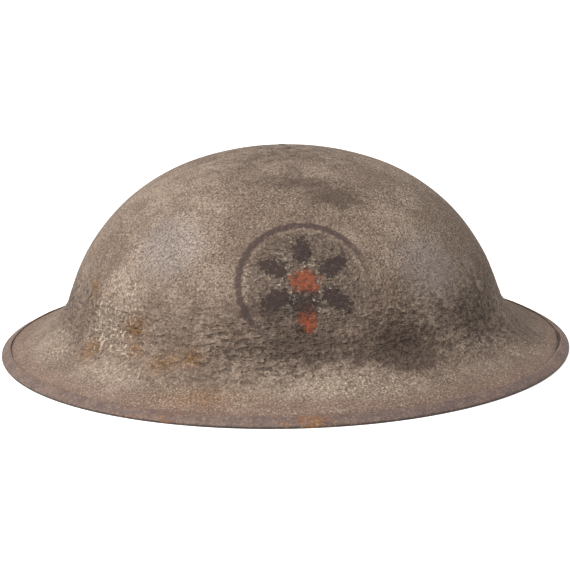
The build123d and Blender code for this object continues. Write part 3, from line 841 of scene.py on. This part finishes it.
ease = np.linspace(0, 1, 12)
lift = strap_gauge / 2 + (loop_radius - strap_gauge / 2) * eased(ease)
round_bar = np.linspace(pi / 2, 3 * pi / 2, 18)[1:-1]
flat_tail = np.linspace(tail_length, loop_taper, 30)[:-1]
flat_foot = np.linspace(loop_taper, run_length, 30)[1:]
strap_s = np.concatenate([
    flat_tail, loop_taper * (1 - ease), loop_radius * np.cos(round_bar), loop_taper * ease, flat_foot
])
strap_h = np.concatenate([
    0 * flat_tail + strap_gauge / 2, lift, loop_radius * np.sin(round_bar),
    -lift[::-1], 0 * flat_foot - strap_gauge / 2,
])
strap_line = bar + strap_s[:, None] * way_in + strap_h[:, None] * way_up
bend_radius = bend_x / sin(strap_slope)
middle_z = bar[2] - run_length * sin(strap_slope) - bend_x * np.tan(strap_slope / 2)
bend_turn = strap_slope * np.linspace(1, 0, 9)[1:]
bend = np.stack([
    (bend_radius + strap_gauge / 2) * np.sin(bend_turn), bar[1] + 0 * bend_turn,
    middle_z + bend_radius - (bend_radius + strap_gauge / 2) * np.cos(bend_turn),
], -1)
strap_line = np.concatenate([strap_line, bend])
strap_s = np.concatenate([strap_s, np.linspace(run_length, bar[0], 9)[1:]])
print("strap line", len(strap_line), "points, bar at", np.round(bar / mm, 2))

# %% The two halves
ahead = unit(np.gradient(strap_line, axis=0))
thick_way = np.cross(ahead, (0, 1, 0))
edge_turn = np.linspace(pi / 2, -pi / 2, 7)[1:-1]
across_share = np.concatenate([np.linspace(-0.93, 0.93, 13), 0.93 + 0.07 * np.cos(edge_turn)])
across_share = np.concatenate([across_share, -across_share])
thick_share = np.concatenate([np.ones(13), np.sin(edge_turn)])
thick_share = np.concatenate([thick_share, -thick_share])
from_tip = np.where(np.arange(len(strap_s)) < len(flat_tail), tail_length - strap_s, tail_length)
narrow = 0.45 + 0.55 * np.sqrt(np.clip(from_tip / (7 * mm), 0, 1))
width = across_share[:, None] * narrow * strap_half
skew = lean * (1 - rise(strap_s, 10 * mm, 34 * mm))
strap_grid = strap_line + thick_share[:, None, None] * thick_way * strap_gauge / 2
strap_grid = strap_grid + width[..., None] * [0, 1, 0] + (width * skew)[..., None] * [1, 0, 0]
strap_grid = bumped(strap_grid, 0.07 * mm, 9 * mm, 81)
strap_grid[:, -1, 0] = 0
strap_halves = []
for side, mirror in (("left", 1), ("right", -1)):
    half = skin("chinstrap_" + side, strap_grid * [mirror, 1, 1], capped=True)
    store(half, "across", each_row(across_share, len(strap_s)))
    store(half, "from_bail", np.repeat(strap_s[None], len(across_share), 0) / tail_length)
    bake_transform(half)
    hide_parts("chinstrap")
    strap_halves.append(half)

# %% [markdown]
# ## Building finishes
# A finish is a tree of small sums. What a node gives out is wrapped as a value, so that sums are
# written as they would be on paper, and a finish has short names for the patterns that come up
# again and again.

# %% Values and sums
class Value:
    """What a node gives out at every point of a piece: a number, a place or a colour. Each sign
    between two values, or between a value and a plain number, puts in one node."""

    def __init__(self, socket):
        self.socket, self.tree = socket, socket.id_data

    def __add__(self, other):
        return maths("ADD", self, other)

    def __sub__(self, other):
        return maths("SUBTRACT", self, other)

    def __rsub__(self, other):
        return maths("SUBTRACT", other, self)

    def __mul__(self, other):
        return maths("MULTIPLY", self, other)

    def __truediv__(self, other):
        return maths("DIVIDE", self, other)

    def __mod__(self, other):
        return maths("FLOORED_MODULO", self, other)

    def __abs__(self):
        return maths("ABSOLUTE", self)

    def step(self, low, high, to_low=0.0, to_high=1.0):
        """A smooth step from one level to another as the number goes from low to high."""
        sockets = {"From Min": low, "From Max": high, "To Min": to_low, "To Max": to_high}
        return put(self.tree, "MapRange", {"Value": self, **sockets}, interpolation_type="SMOOTHSTEP")

    def mix(self, first, second):
        """The colour at this share of the way from one to another."""
        sockets = {"Factor": self, 6: srgb(first), 7: srgb(second)}
        return put(self.tree, "Mix", sockets, 2, data_type="RGBA")

    def two_tone(self, low, high, first, second):
        """The first colour where the number is low and the second where it is high."""
        return self.step(low, high).mix(first, second)

    def under(self, *coats):
        """This colour under several coats, each a share and a colour."""
        return reduce(lambda colour, coat: coat[0].mix(colour, coat[1]), coats, self)

    def bump(self, depth, **below):
        """The normal of a relief with a depth in metres, over the relief below if there is one."""
        return put(self.tree, "Bump", {"Height": self, "Distance": depth, "Strength": 1.0, **below})


def srgb(colour):
    """A colour as a socket takes it: a value as it is, and red, green and blue given from 0 to 255
    as the linear light that a shader works in."""
    if isinstance(colour, Value):
        return colour
    share = np.array(colour) / 255
    linear = np.where(share <= 0.04045, share / 12.92, ((share + 0.055) / 1.055) ** 2.4)
    return (*linear.tolist(), 1.0)


def feed(node, sockets):
    """Wires each socket of a node that gets a value, and sets the rest."""
    for key, given in sockets.items():
        if isinstance(given, Value):
            node.id_data.links.new(given.socket, node.inputs[key])
        else:
            node.inputs[key].default_value = given


def put(tree, kind, sockets, out=0, **settings):
    """What a new node of a kind gives out, with its settings made and its sockets fed."""
    node = tree.nodes.new("ShaderNode" + kind)
    for key, setting in settings.items():
        setattr(node, key, setting)
    feed(node, sockets)
    return Value(node.outputs[out])


def maths(operation, *numbers):
    """One sum, in the tree that its values come from."""
    tree = next(number.tree for number in numbers if isinstance(number, Value))
    return put(tree, "Math", dict(enumerate(numbers)), operation=operation)


def most(*numbers):
    """The largest of several numbers."""
    return reduce(lambda a, b: maths("MAXIMUM", a, b), numbers)


# %% Finishes
class Finish:
    """A material with its shader, or a world with its own, and short names for patterns."""

    def __init__(self, name, world=False, **shader):
        self.owner = (bpy.data.worlds if world else bpy.data.materials).new(name)
        self.owner.use_nodes = True
        self.tree = self.owner.node_tree
        self.shader = self.tree.nodes["Background" if world else "Principled BSDF"]
        self.place = put(self.tree, "TexCoord", {}, "Object")
        self.give(**shader)

    def give(self, **sockets):
        """Feeds the shader's own sockets, with _ for the spaces in their names."""
        feed(self.shader, {key.replace("_", " "): given for key, given in sockets.items()})

    def on(self, *pieces):
        """Makes this the only finish of some pieces."""
        for piece in pieces:
            piece.data.materials.clear()
            piece.data.materials.append(self.owner)

    def kept(self, name):
        """A field of numbers that the piece keeps on its points."""
        return put(self.tree, "Attribute", {}, "Fac", attribute_name=name)

    def stretch(self, scale):
        """The piece's own place, stretched, so that a pattern runs along an axis."""
        return put(self.tree, "Mapping", {"Vector": self.place, "Scale": scale})

    def noise(self, size, detail=2.0, roughness=0.5, place=None, distortion=0.0):
        """Noise with lumps of about a size in metres, from 0 to 1."""
        return put(self.tree, "TexNoise", {
            "Vector": place or self.place, "Scale": 1 / size, "Detail": detail,
            "Roughness": roughness, "Distortion": distortion,
        })

    def cells(self, size, feature="F1"):
        """Distance to the nearest point, or to the nearest edge, of cells of a size in metres."""
        return put(self.tree, "TexVoronoi", {"Vector": self.place, "Scale": 1 / size}, feature=feature)

    def broken(self, name, low, high, size, raggedness):
        """A step in a kept field, whose edge is broken up by noise of a size."""
        ragged = (self.noise(size, 5, 0.74) - 0.5) * raggedness
        return (self.kept(name) + ragged).step(low, high)


# %% [markdown]
# ## The sanded paint
# The paint is khaki gone grey-brown, mixed with sand so that it doesn't shine. Three grains make
# it: fine sand everywhere, coarse wrinkled sand low on the bowl, and broad cloudy patches where
# dirt and age have moved the colour. High grains are pale from rubbing and partly as a painted
# highlight, the pits between are dark with dirt and painted shade, and the low folds of the
# wrinkles carry painted shade.
# The relief is made of smooth noise a little larger than a pixel of the picture, because finer
# relief would average away.

# %% Grains and worn places
paint = Finish("sanded_paint", Specular_IOR_Level=0.35)
grain = paint.noise(0.95 * mm, 3, 0.75)
sand = paint.noise(1.9 * mm, 3, 0.7)
wrinkle = paint.noise(2.0 * mm, 1.6, 0.5, paint.stretch((0.5, 0.5, 1.25)), 0.5)
flakes = wrinkle.step(0.32, 0.68, -0.5, 0.5)
cloud = paint.noise(34 * mm, 5, 0.62)
blotch = paint.noise(9 * mm, 4, 0.6)
coarse_here = paint.kept("coarse")
rubbed_and_sheen_here = paint.kept("rubbed_and_sheen").step(0.25, 0.95)
stains_and_shade_here = paint.broken("stains_and_shade", 0.25, 1.0, 5 * mm, 2.3)
rusty_here = paint.broken("rusty", 0.45, 0.75, 1.6 * mm, 3.0)
sandy_here = paint.broken("sandy", 0.3, 0.8, 3.4 * mm, 0.9)
worn_here = paint.broken("edge_worn", 0.45, 0.8, 5 * mm, 1.0)

# %% [markdown]
# ## The rosette
# On the front is a hand-painted badge in a dark ring. Here it is a plain rosette: a round red
# middle and six dark petals, which are one petal folded round the middle by its angle. The paint
# is thin and old, so its edges are chipped, the ring has half gone, one petal is red, and soot
# lies over its foot.

# %% The rosette's petals, middle and ring
badge_tilt_deg, badge_turn_deg = 57.2, -84.5
middle_radius, petal_reach, petal_half_length, petal_half_width = 6.8, 16.2, 7.4, 4.3
field_radius, ring_radius, ring_half_width, behind = 27.0, 30.6, 1.7, -25.0
badge = seat(0, badge_tilt_deg, badge_turn_deg)
badge_place = put(paint.tree, "Mapping", {
    "Vector": paint.place, "Location": badge[0].tolist(),
    "Rotation": Matrix(badge[1:].T.tolist()).to_euler(), "Scale": (mm, mm, mm),
}, vector_type="TEXTURE")
badge_axes = put(paint.tree, "SeparateXYZ", {0: badge_place}).socket.node.outputs
badge_x, badge_y, badge_z = (Value(socket) for socket in badge_axes)
chip = paint.noise(2.2 * mm, 4, 0.7) - 0.5
facing = maths("GREATER_THAN", badge_z, behind) * paint.kept("outside")


def length_of(x, y):
    """The length of the step (x, y)."""
    return maths("SQRT", x * x + y * y)


def chipped(distance, edge, soft, ragged):
    """1 where a distance is under an edge, with a soft and chipped border."""
    return (distance + chip * ragged).step(edge + soft, edge - soft) * facing


from_middle = length_of(badge_x, badge_y)
sixth = pi / 3
folded = (maths("ARCTAN2", badge_x, badge_y) + sixth / 2) % sixth - sixth / 2
petal_x = (from_middle * maths("COSINE", folded) - petal_reach) / petal_half_length
petal_y = from_middle * maths("SINE", folded) / petal_half_width
petal = chipped(length_of(petal_x, petal_y), 1.0, 0.14, 2.6)
red_petal = maths("LESS_THAN", abs(badge_x) * 1.73 + badge_y, 0.0)
middle = chipped(from_middle, middle_radius, 0.9, 16.0)
badge_field = chipped(from_middle, field_radius, 1.5, 6.0)
ring_left = (badge_y - badge_x * 0.8 + chip * 60.0).step(-30.0, 6.0, 0.12, 0.85)
ring = chipped(abs(from_middle - ring_radius), ring_half_width, 0.7, 4.5) * ring_left
painted = most(ring, petal, middle)
bare_sand = 1 - painted * 0.8
from_soot = length_of((badge_x + 1.0) * 0.11, (badge_y + 10.0) * 0.16)
soot = chipped(from_soot, 0.9, 0.3, 2.8) * 0.85

# %% The shell's colours
red = paint.noise(2.4 * mm, 5, 0.75).two_tone(0.36, 0.62, (84, 48, 37), (166, 82, 48))
rust = paint.noise(1.6 * mm, 4, 0.7).two_tone(0.4, 0.6, (70, 49, 31), (150, 112, 70))
grit_tone = grain + (sand - grain) * coarse_here
less_coarse = 1 - coarse_here * 0.55
patchy = paint.noise(16 * mm, 4, 0.6).step(0.35, 0.65, 0.3, 0.62)
# Pale grain tops: rubbed sand, partly a painted highlight. Dark pits: dirt and painted shade. Dark
# wrinkle folds: painted shade in the relief's hollows.
pale_and_highlight_share = most(sandy_here, less_coarse * patchy) * bare_sand * (1 - stains_and_shade_here * 0.75)
pit_dirt_and_shade_share = less_coarse * bare_sand * (1 - paint.kept("edge_worn") * 0.5) * 0.9
fold_shade_share = coarse_here * bare_sand * (1 - sandy_here * 0.7) * 0.65
khaki = cloud.two_tone(0.35, 0.68, (134, 114, 99), (170, 149, 132)).under(
    (blotch.step(0.4, 0.7, 0.0, 0.6), (116, 96, 82)),
    # Rubbed patches painted paler and greyer: a painted sheen.
    (rubbed_and_sheen_here * 0.5, (156, 145, 140)),
    (worn_here * 0.6, (140, 113, 100)),
    # Brown stains and painted shade: low on the front by the brim's root and down the right side.
    (stains_and_shade_here * 0.75, (80, 64, 55)),
    (sandy_here * 0.28, (184, 164, 146)),
    (paint.kept("rusty") * 0.4, (156, 114, 80)),
    (badge_field * 0.55, (88, 73, 64)),
    (ring, (68, 53, 51)),
    (petal * 0.92, red_petal.mix((56, 42, 41), red)),
    (middle * 0.85, red),
    (soot, (48, 43, 41)),
    (rusty_here * 0.85, rust),
    # The dark line under the sprung binding leg: painted shade in the gap.
    (paint.kept("slit_shade"), (26, 21, 19)),
    # Pale grain tops are partly painted highlight, dark pits are dirt and painted shade, dark wrinkle
    # folds are painted shade.
    (grit_tone.step(0.54, 0.63) * pale_and_highlight_share, (222, 205, 182)),
    (grit_tone.step(0.49, 0.38) * pit_dirt_and_shade_share, (74, 60, 51)),
    (wrinkle.step(0.48, 0.38) * fold_shade_share, (60, 49, 42)),
)

# %% The shell's relief
roughly = 1 - most(rubbed_and_sheen_here * 0.5, painted * 0.7)
lumpy = (paint.noise(1.9 * mm, 1.5, 0.5) - 0.5) * most(coarse_here, badge_field) * 1.6
wrinkled = (flakes * coarse_here * roughly).bump(1.0 * mm)
sanded = (paint.noise(1.3 * mm, 1.0, 0.5) - 0.5 + lumpy) * roughly
paint.give(
    Base_Color=khaki, Normal=sanded.bump(0.85 * mm, Normal=wrinkled),
    Roughness=rubbed_and_sheen_here.step(0, 1, 0.86, 0.52),
)
paint.on(shell)
dress(shell, "helmet", "shell_paint", "shell")

# %% [markdown]
# ## Worn steel
# The binding wears the same paint with no sand, gone purple-brown and rusted along the front, with
# painted shade on its underside.
# The rivets are rubbed nearly black on top with paint left round them, and the fittings inside are
# bare steel gone dull, with rust in spots. One function mixes all of them: a ground, a second tone
# in clouds, and rust where noise is high.

# %% Binding, rivets and fittings
def worn_metal(name, ground, cloudy, size, rust_from, bump_depth, **shader):
    """A finish of two clouded tones with rust above a noise level."""
    metal = Finish(name, **shader)
    clouds = metal.noise(size, 5, 0.65)
    spots = metal.noise(size / 4, 5, 0.72).step(rust_from, rust_from + 0.09, 0, 0.8)
    pitted = metal.noise(0.8 * mm, 4, 0.7)
    tone = clouds.two_tone(0.36, 0.64, ground, cloudy).under(
        (spots, metal.noise(1.1 * mm, 3).mix((92, 56, 34), (160, 104, 58))),
        (pitted.step(0.46, 0.34, 0, 0.5), (58, 48, 44)),
    )
    metal.give(Base_Color=tone, Normal=pitted.bump(bump_depth))
    return metal, tone, clouds


strip_paint, tone, _ = worn_metal(
    "binding_paint", (136, 114, 101), (112, 93, 88), 11 * mm, 0.66, 0.22 * mm,
    Roughness=0.72, Specular_IOR_Level=0.4,
)
strip_rust = strip_paint.noise(1.3 * mm, 3).mix((120, 80, 50), (176, 122, 72))
mottle = strip_paint.noise(1.3 * mm, 4, 0.72)
strip_paint.give(Base_Color=tone.under(
    # The underside of the rolled edge is painted dark: painted shade.
    (strip_paint.kept("under") * 0.88, (50, 41, 38)),
    (strip_paint.broken("rusty", 0.55, 0.95, 3.0 * mm, 4.2) * 0.7, strip_rust),
    (mottle.step(0.54, 0.66, 0, 0.4), (190, 168, 150)),
    (mottle.step(0.48, 0.38, 0, 0.6), (84, 68, 60)),
    (strip_paint.kept("leg_end").step(0.86, 1.0, 0, 0.45), (166, 130, 112)),
))
strip_paint.on(binding)

rivet_paint, tone, _ = worn_metal(
    "rivet_paint", (50, 42, 38), (74, 62, 54), 3 * mm, 0.7, 0.3 * mm, Roughness=0.7
)
still_painted = rivet_paint.kept("from_middle").step(0.4, 0.75, 0, 0.9)
rivet_paint.give(Base_Color=tone.under((still_painted, (134, 117, 105))))
rivet_paint.on(*rivets)
dull_steel, _, clouds = worn_metal(
    "dull_steel", (126, 120, 113), (96, 90, 84), 4 * mm, 0.62, 0.08 * mm, Metallic=0.85
)
dull_steel.give(Roughness=clouds.step(0.35, 0.65, 0.38, 0.62))
steel_nodes = ["crown_washer"] + [
    side + part for side in ("left", "right") for part in ("_bail_clip", "_bail", "_strap_keeper")
]
dull_steel.on(*(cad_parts[node] for node in steel_nodes))
old_brass, _, _ = worn_metal(
    "old_brass", (164, 134, 78), (122, 96, 56), 2.5 * mm, 0.68, 0.08 * mm,
    Metallic=0.9, Roughness=0.45,
)
old_brass.on(tacks)

# %% [markdown]
# ## Rubber, felt, oilcloth and cord
# The liner's finishes are each a ground, a second tone and the relief that says what it is: a dry
# bloom on rubber, matted hair on felt, cracked varnish on oilcloth, and twisted strands on twine.

# %% The liner's finishes
rubber = Finish("dry_rubber", Roughness=0.78, Specular_IOR_Level=0.35)
rubber_tone = rubber.noise(3 * mm, 5, 0.65).two_tone(0.4, 0.68, (58, 50, 45), (104, 95, 86))
crazing = rubber.cells(1.6 * mm, "DISTANCE_TO_EDGE")
rubber.give(
    Base_Color=rubber_tone.under((crazing.step(0.05, 0.0, 0, 0.6), (36, 30, 27))),
    Normal=crazing.step(0.0, 0.08).bump(0.12 * mm),
)
rubber.on(buffers, crown_ring)

felt = Finish("wool_felt", Roughness=0.95, Sheen_Weight=0.3, Sheen_Roughness=0.5)
hair = felt.noise(0.7 * mm, 4, 0.75, distortion=1.4)
felt_tone = felt.noise(12 * mm, 4).two_tone(0.38, 0.65, (128, 117, 102), (152, 140, 122))
felt.give(
    Base_Color=felt_tone.under((hair.step(0.5, 0.34, 0, 0.55), (84, 74, 64))),
    Normal=hair.bump(0.35 * mm),
)
felt.on(felt_backing, pad)

oilcloth = Finish("black_oilcloth", Specular_IOR_Level=0.5)
rubbing = oilcloth.noise(14 * mm, 5, 0.65)
oil_tone = rubbing.two_tone(0.4, 0.7, (44, 37, 33), (82, 68, 56))
cracks = oilcloth.cells(3.2 * mm, "DISTANCE_TO_EDGE").step(0.045, 0.0) * rubbing.step(0.38, 0.6)
oilcloth.give(
    Base_Color=oil_tone.under((cracks * 0.7, (120, 104, 84))),
    Normal=(oilcloth.noise(0.6 * mm, 3, 0.6) * 0.3 - cracks).bump(0.14 * mm),
    Roughness=rubbing.step(0.35, 0.65, 0.36, 0.66),
)
oilcloth.on(sweatband, *crown_cloths)


def cord_finish(name, ground, dark, size):
    """Twisted strands: hairy, distorted noise, dark between the strands."""
    cord = Finish(name, Roughness=0.9, Sheen_Weight=0.2)
    strands = cord.noise(size, 4, 0.7, distortion=1.0)
    soiled = cord.noise(18 * mm, 4).step(0.45, 0.7, 0, 0.5)
    tone = strands.two_tone(0.52, 0.38, ground, dark).under((soiled, (116, 96, 70)))
    cord.give(Base_Color=tone, Normal=strands.bump(0.25 * mm))
    return cord


cord_finish("net_twine", (186, 164, 124), (116, 96, 66), 0.6 * mm).on(*net_pieces, *stitching)
cord_finish("braided_lace", (156, 134, 100), (92, 74, 52), 0.8 * mm).on(*lace_pieces)

# %% [markdown]
# ## The strap's leather
# Old bridle leather is brown and close-grained, darker and rounder at its edges, with a line
# creased along each edge and cracks where it goes round the bail.

# %% Leather
leather = Finish("strap_leather", Specular_IOR_Level=0.45)
across_here = abs(leather.kept("across"))
tan_cloud = leather.noise(11 * mm, 5, 0.62)
crease = abs(across_here - 0.8).step(0.0, 0.05)
worked = leather.kept("from_bail").step(0.4, 0.0)
splits = leather.noise(1.1 * mm, 3, 0.6, leather.stretch((3.0, 0.5, 3.0))).step(0.46, 0.36) * worked
hide = tan_cloud.two_tone(0.35, 0.68, (84, 52, 32), (122, 80, 50)).under(
    (across_here.step(0.86, 1.0, 0, 0.75), (48, 30, 20)),
    (crease.step(1.0, 0.0, 0, 0.6), (46, 28, 18)),
    (splits * 0.6, (40, 25, 17)),
)
leather.give(
    Base_Color=hide, Normal=(leather.cells(0.9 * mm) * 0.5 + crease - splits).bump(0.2 * mm),
    Roughness=tan_cloud.step(0.3, 0.7, 0.42, 0.62),
)
leather.on(*strap_halves)

# %% [markdown]
# ## Light, floor and camera
# Soft studio light: a broad lamp high at the left, a weaker one at the right, and an even pale
# world. The floor is white to the camera and still takes the helmet's shadow. The camera stands a
# metre off, a little above the brim's level, as the photograph's did.

# %% The studio
lamp_aim = Vector((0, 0, 50 * mm))


def lamp(name, place, size, power):
    """A square lamp of a size in metres and a power in watts, turned to the helmet."""
    light = bpy.data.lights.new(name, "AREA")
    light.energy, light.size = power, size
    stand = linked(name, light)
    stand.location = place
    stand.rotation_euler = (lamp_aim - Vector(place)).to_track_quat("-Z", "Y").to_euler()


lamp("key", (-0.9, -0.8, 1.25), 0.45, 22)
lamp("fill", (1.2, -0.9, 0.6), 1.2, 1.2)
lamp("top", (0, 0.2, 1.5), 1.2, 3.5)


def white_to_camera(finish, low, high):
    """A level that is high for rays from the camera, from gloss and through glass, and low for the
    rays that carry light."""
    rays = put(finish.tree, "LightPath", {}).socket.node.outputs
    seen = most(*(Value(rays[f"Is {kind} Ray"]) for kind in ("Camera", "Glossy", "Transmission")))
    return seen.step(0.0, 1.0, low, high)


sky = Finish("studio", world=True, Color=(1, 1, 1, 1))
sky.give(Strength=white_to_camera(sky, 0.26, 1.0))
scene.world = sky.owner

floor_half = 4
floor_grid = floor_half * np.array([[(-1, -1, 0), (1, -1, 0)], [(-1, 1, 0), (1, 1, 0)]], float)
floor = skin("floor", floor_grid, close_rows=False, close_columns=False)
pale_floor = Finish("pale_floor", Base_Color=srgb((236, 235, 233)), Roughness=0.9)
pale_floor.give(
    Emission_Color=(1, 1, 1, 1), Emission_Strength=white_to_camera(pale_floor, 0.0, 0.85)
)
pale_floor.on(floor)

scene.view_settings.view_transform = "Standard"
camera_data = bpy.data.cameras.new("camera")
camera = scene.camera = linked("camera", camera_data)
picture_width = 570
focal_px, origin_px = 1921, (284.4, 342.5)
stand_off, elevation, roll = 1.0, radians(14.44), radians(-0.92)
camera_data.lens = focal_px / picture_width * camera_data.sensor_width
camera.location = (0, -stand_off * cos(elevation), stand_off * sin(elevation))
aim_up = np.arctan((origin_px[1] - picture_width / 2) / focal_px)
aim_side = np.arctan((origin_px[0] - picture_width / 2) / focal_px)
pitch = Matrix.Rotation(pi / 2 - elevation + aim_up, 4, "X")
camera.rotation_euler = (
    Matrix.Rotation(aim_side, 4, "Z") @ pitch @ Matrix.Rotation(roll, 4, "Z")
).to_euler()
camera_data.clip_start, camera_data.clip_end = 0.05, 20
